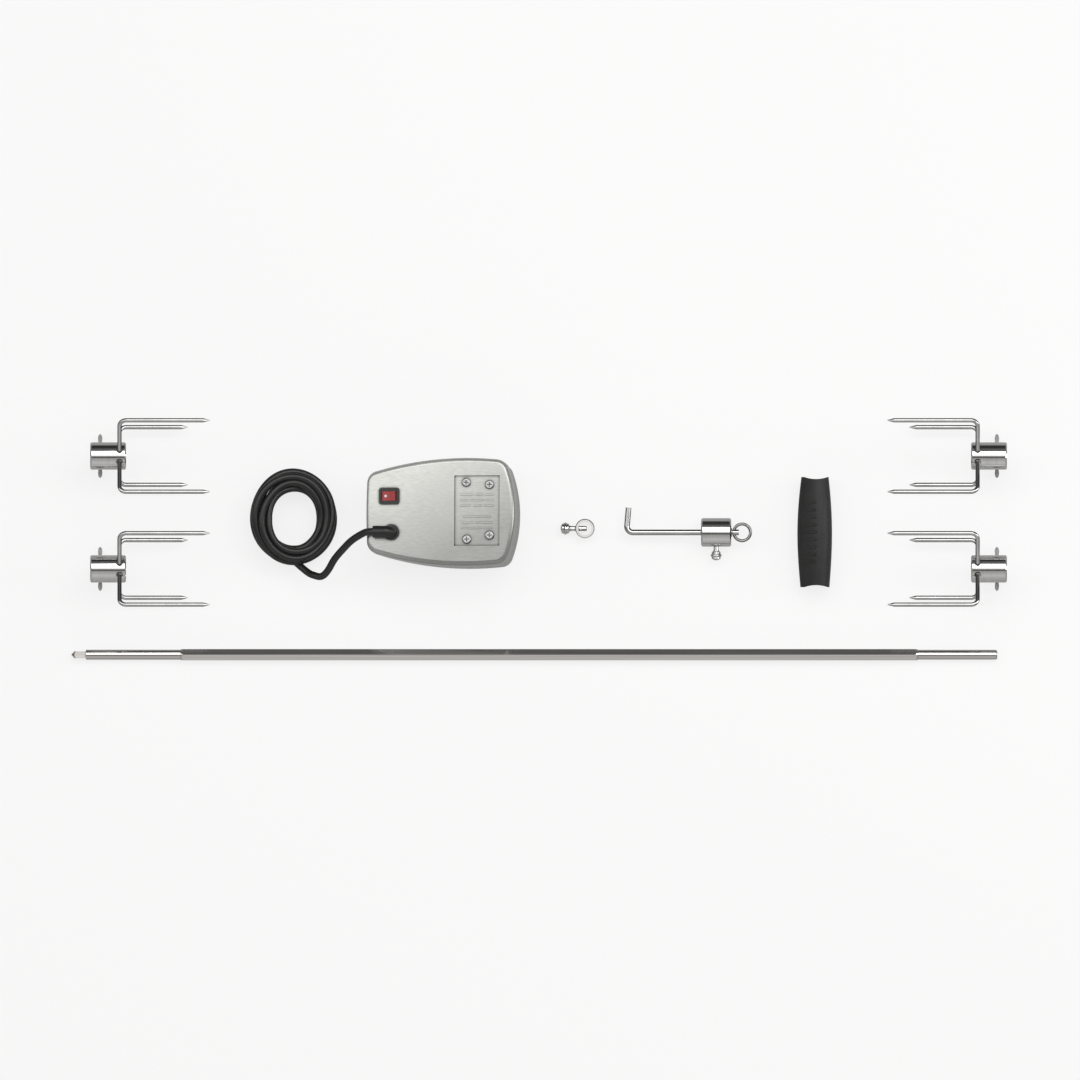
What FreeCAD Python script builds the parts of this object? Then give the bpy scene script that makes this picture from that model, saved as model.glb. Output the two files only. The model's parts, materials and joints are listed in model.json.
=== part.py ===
import FreeCAD, Part
import math
import os
import re

import Sketcher
from fcgear import involute
from fcgear.fcgear import FCWireBuilder

# A rotisserie spit roaster kit laid out flat: motor unit, spit rod, four meat forks, stop collar,
# counterbalance and hand grip. Millimetres, +Z up, floor at Z = 0, X along the spit rod.

V = FreeCAD.Vector
Z_UP = V(0, 0, 1)

SIZES = {
    # spit rod
    "rod_flats": 11.2, "rod_left": -467.65, "rod_right": 457.95, "rod_lane": -115.47, "rod_level": 6.5,
    "tip_length": 4.4, "tang_size": 7.0, "tang_length": 14.3, "left_round": 94.6, "left_radius": 5.0,
    "right_round": 79.2, "right_radius": 4.9, "hex_bevel": 3.0,
    # meat forks
    "fork_left": -449.05, "fork_right": 467.65, "fork_top_lane": 83.23, "fork_low_lane": -29.67,
    "fork_level": 45.0, "collar_radius": 13.7, "collar_length": 35.8, "collar_bore": 6.6, "collar_edge": 1.2,
    "leg_place": 29.3, "leg_start": 5.0, "prong_radius": 2.15, "prong_bend": 6.5, "prong_height": 30.0,
    "long_spread": 35.7, "long_reach": 119.5, "short_spread": 28.8, "short_reach": 97.5, "point_length": 6.5,
    # wing screws of the forks
    "wing_place": 10.0, "fork_stud_radius": 3.0, "thread_gap": 0.05, "stud_top": -7.5, "wing_top": -34.5,
    "wing_height": 6.0, "wing_neck": 3.2, "wing_span": 22.3, "wing_thick": 4.5, "wing_hub": 5.0,
    # stop collar
    "stop_x": 45.65, "stop_y": 10.73, "stop_radius": 9.6, "stop_bore": 6.55, "stop_height": 14.0,
    "thumb_stud": 2.5, "stop_stud_tip": 1.9, "ball_radius": 6.15, "ball_length": 9.3, "neck_radius": 2.85,
    "neck_length": 0.6, "stud_stand_off": 4.7, "groove_depth": 0.7,
    # counterbalance
    "balance_lane": 6.83, "balance_level": 14.3, "balance_rod": 2.85, "balance_start": 87.2,
    "balance_end": 199.55, "leg_top": 31.63, "leg_lean": 2.15, "balance_bend": 6.0, "weight_left": 161.85,
    "weight_length": 30.1, "weight_bevel": 1.4, "weight_gap": 0.1, "washer_radius": 4.35,
    "washer_thick": 0.8, "ring_radius": 8.35, "ring_wire": 1.55, "ring_hole": 2.15, "ring_pivot": 194.5,
    "weight_ball_radius": 5.55, "weight_ball_length": 9.8, "weight_stand_off": 3.0,
    # hand grip
    "grip_x": 276.75, "grip_y": 7.13, "grip_length": 110.2, "grip_middle": 17.3, "grip_top": 13.6,
    "grip_bottom": 14.5, "grip_bore": 5.1, "grip_dip": 2.0, "grip_lobe": 0.08, "grip_corner": 65.0,
    # motor unit: u to the right, v up the face, w out of the face
    "motor_x": -98.95, "motor_y": 27.58, "motor_level": 72.2, "lean_x": 7.0, "lean_y": 4.7,
    "case_left": -73.8, "case_right": 64.5, "left_half": 38.5, "right_half": 51.7, "side_bow": 7.6,
    "right_bow": 10.3, "left_bow": 1.1, "left_round_off": 12.0, "right_round_off": 13.0, "face_round": 4.4,
    "cover_depth": 22.0, "case_depth": 60.0, "sheet_thick": 1.0, "lap": 6.0, "lap_gap": 0.15,
    "recess_left": 14.0, "recess_right": 59.6, "recess_low": -34.4, "recess_top": 36.2, "recess_depth": 2.0,
    "screw_head": 4.5, "screw_head_height": 1.9, "screw_shank": 1.8, "cover_screw_length": 6.5,
    "long_screw": 1.5, "long_screw_head": 3.2, "long_screw_head_height": 1.6, "long_screw_length": 38.0,
    "bracket_head": 3.5, "bracket_head_height": 1.7, "bracket_screw_length": 5.0,
    "bracket_left": 14.0, "bracket_right": 52.0, "bracket_low": -42.0, "bracket_top": -14.0,
    "bracket_thick": 2.0, "tongue_length": 16.0,
    "plate_left": -38.0, "plate_right": 64.0, "plate_low": -40.0, "plate_top": 37.0, "plate_thick": 3.0,
    "rear_plate": -32.0, "rear_plate_thick": 2.0, "post_radius": 3.0,
    "switch_u": -51.5, "switch_v": 15.85, "bezel_wide": 20.4, "bezel_tall": 16.6, "bezel_thick": 1.6,
    "bezel_round": 2.6, "rocker_well": 11.0, "blade_length": 8.0, "blade_wide": 5.0, "blade_thick": 0.8,
    "rocker_swing_radius": 7.2, "rocker_wide": 9.5, "rocker_gap": 0.3, "rocker_pivot": -1.0,
    "rocker_tilt": 8.0, "rocker_lift": 25.0, "rocker_middle": 0.9, "switch_body": 24.0,
    "relief_u": -49.3, "relief_v": -20.4, "relief_radius": 6.0, "relief_rise": 8.0, "relief_end": -66.9,
    "cable_radius": 3.7, "coil_x": -244.9, "coil_y": 21.48, "coil_wide": 31.85, "coil_tall": 37.9,
    "coil_level": 18.9, "coil_slope": 0.177, "band_thick": 10.3, "lead_radius": 0.9,
    "plug_x": -275.4, "plug_y": 14.8, "plug_wide": 17.0, "plug_long": 22.0, "plug_high": 10.0,
    "plug_round": 2.5, "blade_gap": 12.7, "plug_blade_length": 14.0, "plug_blade_tall": 6.3,
    "plug_blade_thick": 1.5,
    # gear train and motor
    "gear_width": 6.0, "first_module": 0.8, "second_module": 0.7, "third_module": 0.6, "pinion_teeth": 12,
    "output_teeth": 56, "third_teeth": 57, "second_teeth": 54, "axle_radius": 2.0, "running_gap": 0.05,
    "output_gear_level": -15.0, "third_gear_level": -22.0, "second_gear_level": -28.0,
    "rotor_pinion_level": -28.25, "third_wheel": 5.0, "third_gear_tall": 13.0, "second_wheel": 4.0,
    "second_gear_tall": 11.0, "rotor_pinion_tall": 4.5, "shaft_front": 4.0, "shaft_end": 61.0,
    "shaft_radius": 6.0, "socket_radius": 9.0, "socket_size": 7.4, "socket_length": 13.0, "socket_floor": 1.5,
    "bush_radius": 9.0, "bush_length": 4.5, "rear_bush_level": -28.0, "can_radius": 28.0, "can_depth": 25.0,
    "magnet_radius": 13.0, "magnet_front": 5.0, "magnet_end": 20.0, "coil_inner": 14.5, "coil_outer": 25.0,
    "coil_front": 5.0, "coil_end": 21.0, "rotor_shaft": 1.5, "rotor_front": -8.5, "rotor_end": 23.5,
    "bearing_radius": 5.0,
}

OUTPUT_AXIS = (37.0, 0.0)
THIRD_AXIS = (14.72, 15.6)
SECOND_AXIS = (-3.78, 0.08)
ROTOR_AXIS = (-20.93, -9.82)
COVER_SCREWS = ((25.8, 29.35), (49.2, 27.05), (26.6, -27.7), (49.4, -23.7))
POSTS = ((60.0, 32.0), (60.0, -32.0), (-2.0, -36.0), (-32.0, 32.0))
BRACKET_SCREWS = ((24.0, -26.0), (42.0, -26.0))

doc = FreeCAD.newDocument("rotisserie_kit")
sheet = doc.addObject("Spreadsheet::Sheet", "sizes")
for row, (alias, number) in enumerate(SIZES.items(), 1):
    sheet.set(f"A{row}", alias)
    sheet.set(f"B{row}", str(number))
    sheet.setAlias(f"B{row}", alias)
doc.recompute()

parts = []
WORD = re.compile(r"[a-z_][a-z_0-9]*")


def formula(text):
    """A sheet expression from a text that names cells."""
    return WORD.sub(lambda found: "sizes." + found[0] if found[0] in SIZES else found[0], str(text))


def size(text):
    """The number that such a text gives."""
    return float(sheet.evalExpression(formula(text)))


def pose(x=0, y=0, z=0, toward=None):
    """A place, with local +X turned toward a direction."""
    turn = FreeCAD.Rotation(V(1, 0, 0), V(*toward)) if toward else FreeCAD.Rotation()
    return FreeCAD.Placement(V(x, y, z), turn)


def upright(x, y, z=0):
    """A place for a turned piece whose axis is local X, stood up along +Z."""
    return pose(x, y, z, (0, 0, 1))


def keep(item, name, place):
    """Names a finished sub-part, places it and lists it for export."""
    item.Label = name
    item.Placement = place
    parts.append(item)
    return item


def from_shape(name, shape, place):
    item = doc.addObject("Part::Feature", name)
    item.Shape = shape
    return keep(item, name, place)


def new_sketch(body, name, role, lift="0"):
    sketch = body.newObject("Sketcher::SketchObject", name)
    plane = next(item for item in body.Origin.OriginFeatures if item.Role == role)
    sketch.AttachmentSupport = [(plane, "")]
    sketch.MapMode = "FlatFace"
    sketch.setExpression("AttachmentOffset.Base.z", formula(lift))
    return sketch


def add_outline(sketch, corners):
    """A closed outline of straight lines whose corners are bound to the sheet."""
    at = [V(size(x), size(y), 0) for x, y in corners]
    first = sketch.GeometryCount
    for i, start in enumerate(at):
        sketch.addGeometry(Part.LineSegment(start, at[(i + 1) % len(at)]), False)
    for i in range(len(at)):
        after = first + (i + 1) % len(at)
        sketch.addConstraint(Sketcher.Constraint("Coincident", first + i, 2, after, 1))
    for i, (x, y) in enumerate(corners):
        for kind, text, number in (("DistanceX", x, at[i].x), ("DistanceY", y, at[i].y)):
            rule = sketch.addConstraint(Sketcher.Constraint(kind, -1, 1, first + i, 1, number))
            sketch.setExpression(f"Constraints[{rule}]", formula(text))


def add_circle(sketch, x, y, radius):
    circle = sketch.addGeometry(Part.Circle(V(size(x), size(y), 0), Z_UP, size(radius)), False)
    rules = [Sketcher.Constraint("DistanceX", -1, 1, circle, 3, size(x))]
    rules.append(Sketcher.Constraint("DistanceY", -1, 1, circle, 3, size(y)))
    rules.append(Sketcher.Constraint("Radius", circle, size(radius)))
    for rule, text in zip(rules, (x, y, radius)):
        number = sketch.addConstraint(rule)
        sketch.setExpression(f"Constraints[{number}]", formula(text))


def turned(name, profile, place, export=True):
    """A lathe-turned piece: profile corners are (along, radius), about local X."""
    body = doc.addObject("PartDesign::Body", name)
    sketch = new_sketch(body, name + "_profile", "XZ_Plane")
    add_outline(sketch, profile)
    turn = body.newObject("PartDesign::Revolution", name + "_turn")
    turn.Profile = sketch
    turn.ReferenceAxis = (sketch, ["H_Axis"])
    turn.Angle = 360
    return keep(body, name, place) if export else body


def padded(name, corners, length, place, holes=()):
    """A flat plate or block: one outline with round holes, padded along the plane's normal."""
    body = doc.addObject("PartDesign::Body", name)
    sketch = new_sketch(body, name + "_outline", "XY_Plane")
    add_outline(sketch, corners)
    for x, y, radius in holes:
        add_circle(sketch, x, y, radius)
    pad = body.newObject("PartDesign::Pad", name + "_pad")
    pad.Profile = sketch
    pad.setExpression("Length", formula(length))
    return keep(body, name, place)


def drill(body, x, y, radius, depth, role="XY_Plane", lift="0", back=False):
    """A round hole cut from a lifted origin plane."""
    sketch = new_sketch(body, body.Name + "_drill", role, lift)
    add_circle(sketch, x, y, radius)
    hole = body.newObject("PartDesign::Pocket", body.Name + "_hole")
    hole.Profile = sketch
    hole.Reversed = back
    hole.setExpression("Length", formula(depth))


def cut_outline(body, corners, depth, lift="0"):
    """A pocket cut from a lifted origin plane."""
    sketch = new_sketch(body, body.Name + "_cut_outline", "XY_Plane", lift)
    add_outline(sketch, corners)
    hole = body.newObject("PartDesign::Pocket", body.Name + "_cut")
    hole.Profile = sketch
    hole.setExpression("Length", formula(depth))
    doc.recompute()


def rectangle(left, right, low, top):
    return [(left, low), (right, low), (right, top), (left, top)]


def rounded_chain(points, radius):
    """A cord of straight runs with ball joints."""
    cord = None
    for start, end in zip(points, points[1:]):
        run = Part.makeCylinder(radius, (end - start).Length, start, end - start)
        cord = cord.fuse(run) if cord else run
        if end is not points[-1]:
            cord = cord.fuse(Part.makeSphere(radius, end))
    return cord


def swept(path, radius):
    """A round bar along a path."""
    start = path.Edges[0]
    begin = start.valueAt(start.FirstParameter)
    along = start.tangentAt(start.FirstParameter)
    ring = Part.Wire([Part.makeCircle(radius, begin, along)])
    pipe = Part.BRepOffsetAPI.MakePipeShell(path)
    pipe.setFrenetMode(False)
    pipe.add(ring)
    pipe.build()
    pipe.makeSolid()
    return pipe.shape()


def bent_path(start, corner, end, radius):
    """Two straight runs joined by a rounded bend."""
    toward_start = (start - corner).normalize()
    toward_end = (end - corner).normalize()
    half = toward_start.getAngle(toward_end) / 2
    leave = radius / math.tan(half)
    first = corner + toward_start * leave
    last = corner + toward_end * leave
    bisector = (toward_start + toward_end).normalize()
    middle = corner + bisector * (radius / math.sin(half) - radius)
    runs = [Part.LineSegment(start, first), Part.Arc(first, middle, last), Part.LineSegment(last, end)]
    return Part.Wire([run.toShape() for run in runs])


def grooved_ball(length, radius):
    """A ball knob turned about +X: neck first, then a ball with turned grip grooves across its axis."""
    steps = 48
    grooves = 4
    neck = size("neck_radius")
    neck_length = size("neck_length")
    profile = [V(0, 0, 0), V(0, neck, 0), V(neck_length, neck, 0)]
    for i in range(1, steps):
        angle = math.pi * i / steps
        place = neck_length + length / 2 * (1 - math.cos(angle))
        ripple = size("groove_depth") * (1 - math.cos(math.tau * grooves * i / steps)) / 2
        height = radius * math.sin(angle) ** 0.75 - ripple
        if height > neck:
            profile.append(V(place, height, 0))
    profile.append(V(neck_length + length, 0.6 * neck, 0))
    profile.append(V(neck_length + length, 0, 0))
    face = Part.Face(Part.makePolygon(profile + [profile[0]]))
    return face.revolve(V(0, 0, 0), V(1, 0, 0), 360)


def build_spit_rod():
    """Hexagonal bar with turned round ends and a pointed square drive tang."""
    left = size("rod_left")
    bar = doc.addObject("Part::Prism", "spit_bar")
    bar.Polygon = 6
    bar.setExpression("Circumradius", formula("rod_flats / sqrt(3)"))
    bar.setExpression("Height", formula("rod_right - rod_left - tang_length"))
    bar.Placement = FreeCAD.Placement(V(left + size("tang_length"), 0, 0), FreeCAD.Rotation(V(0, 1, 0), 90))
    tang = doc.addObject("Part::Box", "spit_tang")
    tang.setExpression("Length", formula("tang_length"))
    tang.setExpression("Width", formula("tang_size"))
    tang.setExpression("Height", formula("tang_size"))
    half = size("tang_size / 2")
    tang.Placement = pose(left, -half, -half)
    blank = doc.addObject("Part::Fuse", "spit_blank")
    blank.Base = bar
    blank.Tool = tang
    tang_end = "rod_left + tang_length"
    hex_start = "rod_left + tang_length + left_round"
    hex_end = "rod_right - right_round"
    full = "rod_flats / sqrt(3) + 0.5"
    envelope = turned("spit_envelope", [
        ("rod_left", "0"), ("rod_left", "0.6"), ("rod_left + tip_length", "tang_size * 0.72"),
        (tang_end, "tang_size * 0.72"), (tang_end, "left_radius"), (hex_start, "left_radius"),
        (f"{hex_start} + hex_bevel", full), (f"{hex_end} - hex_bevel", full), (hex_end, "right_radius"),
        ("rod_right - 1", "right_radius"), ("rod_right", "right_radius - 1"), ("rod_right", "0")],
        pose(), export=False)
    rod = doc.addObject("Part::Common", "spit_rod")
    rod.Base = blank
    rod.Tool = envelope
    keep(rod, "spit_rod", pose(0, size("rod_lane"), size("rod_level")))


def build_fork(number, x, y, backward):
    """One meat fork: turned collar, four welded prongs, and a wing screw under the collar."""
    name = f"fork_{number}_"
    place = FreeCAD.Placement(V(x, y, size("fork_level")), FreeCAD.Rotation(Z_UP, 180 if backward else 0))
    collar = turned(name + "collar", [
        ("0", "collar_bore"), ("0", "collar_radius - collar_edge"), ("collar_edge", "collar_radius"),
        ("collar_length - collar_edge", "collar_radius"), ("collar_length", "collar_radius - collar_edge"),
        ("collar_length", "collar_bore")], place)
    drill(collar, "wing_place", "0", "fork_stud_radius + thread_gap", "collar_radius + 1")
    prongs = []
    place_x = size("leg_place")
    thick = size("prong_radius")
    for side in (-1, 1):
        for level, spread, reach in ((1, "long_spread", "long_reach"), (-1, "short_spread", "short_reach")):
            outer = V(place_x, side * size(spread), level * size("prong_height"))
            inner = V(place_x, side * size("leg_start"), level * 12.0)
            point = V(size(reach) - size("point_length"), outer.y, outer.z)
            prong = swept(bent_path(inner, outer, point, size("prong_bend")), thick)
            tip = Part.makeCone(thick, 0.4, size("point_length"), point, V(1, 0, 0))
            prongs.append(prong.fuse(tip).removeSplitter())
    from_shape(name + "tines", Part.Compound(prongs), place)
    stud_place = place * pose(size("wing_place"), 0, size("stud_top"), (0, 0, -1))
    turned(name + "screw_stud", [
        ("0", "0"), ("0", "fork_stud_radius - 0.7"), ("0.8", "fork_stud_radius"),
        ("stud_top - wing_top", "fork_stud_radius"), ("stud_top - wing_top", "0")], stud_place)
    wing_place = place * pose(size("wing_place"), 0, size("wing_top"))
    tip = [("wing_neck / 2", "wing_span * 0.55"), ("wing_thick / 2", "wing_span * 0.78"),
           ("wing_thick * 0.38", "wing_span * 0.92"), ("0", "wing_span")]
    far = [(f"-({x})", y) for x, y in tip[-2::-1]]
    half = tip + far
    outline = half + [(f"-({x})", f"-({y})") for x, y in half]
    wing = padded(name + "screw_wing", outline, "wing_height", wing_place * pose(0, 0, -size("wing_height")))
    sketch = new_sketch(wing, wing.Name + "_hub", "XY_Plane")
    add_circle(sketch, "0", "0", "wing_hub")
    hub = wing.newObject("PartDesign::Pad", wing.Name + "_hub_pad")
    hub.Profile = sketch
    hub.setExpression("Length", formula("wing_height"))


def build_stop_collar():
    """Short collar standing on end, with a ball-headed thumb screw through its wall."""
    place = upright(size("stop_x"), size("stop_y"))
    collar = turned("stop_collar", [
        ("0", "stop_bore"), ("0", "stop_radius - 0.8"), ("0.8", "stop_radius"),
        ("stop_height - 0.8", "stop_radius"), ("stop_height", "stop_radius - 0.8"),
        ("stop_height", "stop_bore")], place)
    drill(collar, "stop_height / 2", "0", "thumb_stud + thread_gap", "stop_radius + 1", back=True)
    screw = pose(size("stop_x + stop_stud_tip"), size("stop_y"), size("stop_height / 2"), (-1, 0, 0))
    reach = "stop_stud_tip + stop_radius + stud_stand_off"
    turned("stop_screw_stud", [
        ("0", "0"), ("0", "thumb_stud - 0.5"), ("0.6", "thumb_stud"),
        (reach, "thumb_stud"), (reach, "0")], screw)
    knob = grooved_ball(size("ball_length"), size("ball_radius"))
    from_shape("stop_screw_knob", knob, screw * pose(size(reach)))


def build_counterbalance():
    """Bent rod with a sliding round weight, its thumb screw, a retaining washer and a split ring."""
    lane = size("balance_lane")
    level = size("balance_level")
    start = V(size("balance_start + leg_lean"), size("leg_top"), level)
    corner = V(size("balance_start"), lane, level)
    end = V(size("balance_end"), lane, level)
    rod = swept(bent_path(start, corner, end, size("balance_bend")), size("balance_rod"))
    pivot = V(size("ring_pivot"), lane - 5, level)
    rod = rod.cut(Part.makeCylinder(size("ring_hole"), 10, pivot, V(0, 1, 0)))
    from_shape("counterbalance_rod", rod, pose())
    weight = turned("counterbalance_weight", [
        ("0", "balance_rod + weight_gap"), ("0", "balance_level - weight_bevel"),
        ("weight_bevel", "balance_level"), ("weight_length - weight_bevel", "balance_level"),
        ("weight_length", "balance_level - weight_bevel"), ("weight_length", "balance_rod + weight_gap")],
        pose(size("weight_left"), lane, level))
    drill(weight, "weight_length / 2", "0", "thumb_stud + thread_gap", "balance_level + 1",
          role="XZ_Plane", back=True)
    screw = pose(size("weight_left + weight_length / 2"), lane - size("balance_rod + 0.15"), level, (0, -1, 0))
    reach = "balance_level - balance_rod + weight_stand_off"
    turned("weight_screw_stud", [
        ("0", "0"), ("0", "thumb_stud - 0.5"), ("0.6", "thumb_stud"), (reach, "thumb_stud"), (reach, "0")],
        screw)
    knob = grooved_ball(size("weight_ball_length"), size("weight_ball_radius"))
    from_shape("weight_screw_knob", knob, screw * pose(size(reach)))
    turned("retaining_washer", [
        ("0", "balance_rod"), ("0", "washer_radius"), ("washer_thick", "washer_radius"),
        ("washer_thick", "balance_rod")], pose(size("weight_left + weight_length + 0.1"), lane, level))
    ring = Part.makeTorus(size("ring_radius"), size("ring_wire"))
    from_shape("pull_ring", ring, pose(size("ring_pivot + ring_radius"), lane, level))


def build_grip():
    """Barrel-shaped hand grip, rounded-triangular in section, dished at both ends."""
    length = size("grip_length")
    lobe = size("grip_lobe")
    corner = math.radians(size("grip_corner"))
    sections = []
    for share, radius in ((0, "grip_bottom"), (0.2, "grip_middle * 0.6 + grip_bottom * 0.4"),
                          (0.5, "grip_middle"), (0.8, "grip_middle * 0.6 + grip_top * 0.4"), (1, "grip_top")):
        points = []
        for i in range(24):
            angle = math.tau * i / 24
            reach = size(radius) * (1 + lobe * math.cos(3 * (angle - corner)))
            points.append(V(reach * math.cos(angle), share * length, reach * math.sin(angle)))
        curve = Part.BSplineCurve()
        curve.interpolate(points, PeriodicFlag=True)
        sections.append(Part.Wire([curve.toShape()]))
    grip = Part.makeLoft(sections, True, False)
    dip = size("grip_dip")
    chord = size("grip_top") - 2
    scoop = (chord ** 2 + dip ** 2) / (2 * dip)
    for y in (dip - scoop, length - dip + scoop):
        grip = grip.cut(Part.makeCylinder(scoop, 60, V(0, y, -30)))
    grip = grip.cut(Part.makeCylinder(size("grip_bore"), length, V(0, 0, 0), V(0, 1, 0)))
    low = size("grip_y - grip_length / 2")
    from_shape("handle_grip", grip, pose(size("grip_x"), low, size("grip_middle * 1.05")))


LEAN_X = math.sin(math.radians(size("lean_x")))
LEAN_Y = math.sin(math.radians(size("lean_y")))
FACE_NORMAL = V(-LEAN_X, LEAN_Y, math.sqrt(1 - LEAN_X ** 2 - LEAN_Y ** 2))
MOTOR = FreeCAD.Placement(V(size("motor_x"), size("motor_y"), size("motor_level")),
                          FreeCAD.Rotation(Z_UP, FACE_NORMAL))


def on_motor(u=0, v=0, w=0):
    """A place on the motor unit, axes along the face's own."""
    return MOTOR * pose(u, v, w)


def into_motor(u, v, w=0):
    """A place whose local +X runs from the face into the motor unit."""
    return MOTOR * pose(u, v, w, (0, 0, -1))


def case_outline(sketch, inset):
    """Four bowed sides, wider at the output end."""
    left = f"case_left + {inset}"
    right = f"case_right - {inset}"
    corners = [(left, f"left_half - {inset}"), (left, f"-left_half + {inset}"),
               (right, f"-right_half + {inset}"), (right, f"right_half - {inset}")]
    bows = ("left_bow", "side_bow", "right_bow", "side_bow")
    at = [V(size(x), size(y), 0) for x, y in corners]
    for i, start in enumerate(at):
        end = at[(i + 1) % 4]
        run = end - start
        out = V(run.y, -run.x, 0).normalize()
        middle = (start + end) * 0.5 + out * size(bows[i])
        sketch.addGeometry(Part.Arc(start, middle, end), False)
    for i, (x, y) in enumerate(corners):
        sketch.addConstraint(Sketcher.Constraint("Coincident", i, 2, (i + 1) % 4, 1))
        x_next, y_next = corners[(i + 1) % 4]
        chord = f"((({x_next}) - ({x}))^2 + (({y_next}) - ({y}))^2)"
        bend = f"({chord} / 4 + {bows[i]}^2) / (2 * {bows[i]})"
        rules = [(Sketcher.Constraint("DistanceX", -1, 1, i, 1, size(x)), x)]
        rules.append((Sketcher.Constraint("DistanceY", -1, 1, i, 1, size(y)), y))
        rules.append((Sketcher.Constraint("Radius", i, size(bend)), bend))
        for rule, text in rules:
            number = sketch.addConstraint(rule)
            sketch.setExpression(f"Constraints[{number}]", formula(text))


def edge_names(shape, test):
    return [f"Edge{i}" for i, edge in enumerate(shape.Edges, 1) if test(edge)]


def round_edges(body, name, test, radius):
    base = body.Tip
    item = body.newObject("PartDesign::Fillet", name)
    item.Base = (base, edge_names(base.Shape, test))
    item.setExpression("Radius", formula(radius))
    doc.recompute()


def case_block(name, inset, depth, lift, left_round, right_round):
    """The solid block that a case shell is hollowed from."""
    body = doc.addObject("PartDesign::Body", name)
    sketch = new_sketch(body, name + "_outline", "XY_Plane", lift)
    case_outline(sketch, inset)
    pad = body.newObject("PartDesign::Pad", name + "_pad")
    pad.Profile = sketch
    pad.Reversed = True
    pad.setExpression("Length", formula(depth))
    doc.recompute()

    def upright_edge(edge, side):
        box = edge.BoundBox
        return box.ZLength > 5 and box.XLength < 0.01 and box.XMin * side > 0

    round_edges(body, name + "_left_corners", lambda edge: upright_edge(edge, -1), left_round)
    round_edges(body, name + "_right_corners", lambda edge: upright_edge(edge, 1), right_round)
    return body


def hollow(body, name, opening):
    """Removes the open side and leaves a sheet-metal wall."""
    base = body.Tip
    wall = body.newObject("PartDesign::Thickness", name)
    faces = [f"Face{i}" for i, face in enumerate(base.Shape.Faces, 1)
             if abs(face.CenterOfMass.z - opening) < 0.01]
    wall.Base = (base, faces)
    wall.Reversed = True
    wall.setExpression("Value", formula("sheet_thick"))
    doc.recompute()


def level_edge(level):
    return lambda edge: abs(edge.BoundBox.ZMin - level) < 0.02 and abs(edge.BoundBox.ZMax - level) < 0.02


def build_case():
    """Pressed steel front cover with a rolled edge and a sunk panel, and the rear housing that slips in it."""
    cover = case_block("motor_front_cover", "0", "cover_depth", "0", "left_round_off", "right_round_off")
    round_edges(cover, "cover_bead", level_edge(0), "face_round")
    cut_outline(cover, rectangle("recess_left", "recess_right", "recess_low", "recess_top"), "recess_depth")
    hollow(cover, "cover_wall", -size("cover_depth"))
    for u, v in COVER_SCREWS:
        drill(cover, u, v, "screw_shank + 0.2", "6")
    half_wide = "(bezel_wide / 2 - 1)"
    half_tall = "(bezel_tall / 2 - 1.5)"
    cut_outline(cover, rectangle(f"switch_u - {half_wide}", f"switch_u + {half_wide}",
                                 f"switch_v - {half_tall}", f"switch_v + {half_tall}"), "6")
    drill(cover, "relief_u", "relief_v", "relief_radius + 0.1", "6")
    keep(cover, "motor_front_cover", on_motor())
    inset = "(sheet_thick + lap_gap)"
    front = "-(cover_depth - lap)"
    housing = case_block("motor_rear_housing", inset, "case_depth - cover_depth + lap", front,
                         "left_round_off - 1.15", "right_round_off - 1.15")
    round_edges(housing, "housing_edge", level_edge(-size("case_depth")), "face_round")
    hollow(housing, "housing_wall", size(front))
    back = "-case_depth + sheet_thick + 1"
    for u, v, radius in ((*OUTPUT_AXIS, "shaft_radius + 1"), *((u, v, "long_screw + 0.1") for u, v in POSTS),
                         *((u, v, "screw_shank + 0.1") for u, v in BRACKET_SCREWS)):
        drill(housing, u, v, radius, "4", lift=back)
    keep(housing, "motor_rear_housing", on_motor())


def cross_head(u, v, head_radius, head_height, shank_radius, shank_length):
    """A pan-head screw with a cross recess, its shank pointing along -Z."""
    head = Part.makeCylinder(head_radius, head_height, V(u, v, 0))
    top_edges = [edge for edge in head.Edges if edge.BoundBox.ZMin > head_height - 0.01]
    head = head.makeFillet(head_height * 0.6, top_edges)
    shank = Part.makeCylinder(shank_radius, shank_length, V(u, v, -shank_length))
    screw = head.fuse(shank)
    arm = head_radius * 0.55
    for wide, tall in ((arm, 0.45), (0.45, arm)):
        slot = Part.makeBox(2 * wide, 2 * tall, head_height, V(u - wide, v - tall, head_height * 0.45))
        screw = screw.cut(slot)
    return screw.removeSplitter()


def build_fasteners():
    shape = [size(text) for text in ("screw_head", "screw_head_height", "screw_shank", "cover_screw_length")]
    cover = [cross_head(u, v, *shape) for u, v in COVER_SCREWS]
    from_shape("cover_screws", Part.Compound(cover), on_motor(w=-size("recess_depth")))
    flip = FreeCAD.Placement(V(0, 0, -size("case_depth")), FreeCAD.Rotation(V(1, 0, 0), 180))
    shape = [size(text) for text in ("long_screw_head", "long_screw_head_height", "long_screw",
                                     "long_screw_length")]
    housing = [cross_head(u, -v, *shape) for u, v in POSTS]
    from_shape("housing_screws", Part.Compound(housing), MOTOR * flip)
    shape = [size(text) for text in ("bracket_head", "bracket_head_height", "screw_shank",
                                     "bracket_screw_length")]
    bracket = [cross_head(u, -v, *shape) for u, v in BRACKET_SCREWS]
    from_shape("bracket_screws", Part.Compound(bracket), MOTOR * flip * pose(0, 0, size("bracket_thick")))


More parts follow.
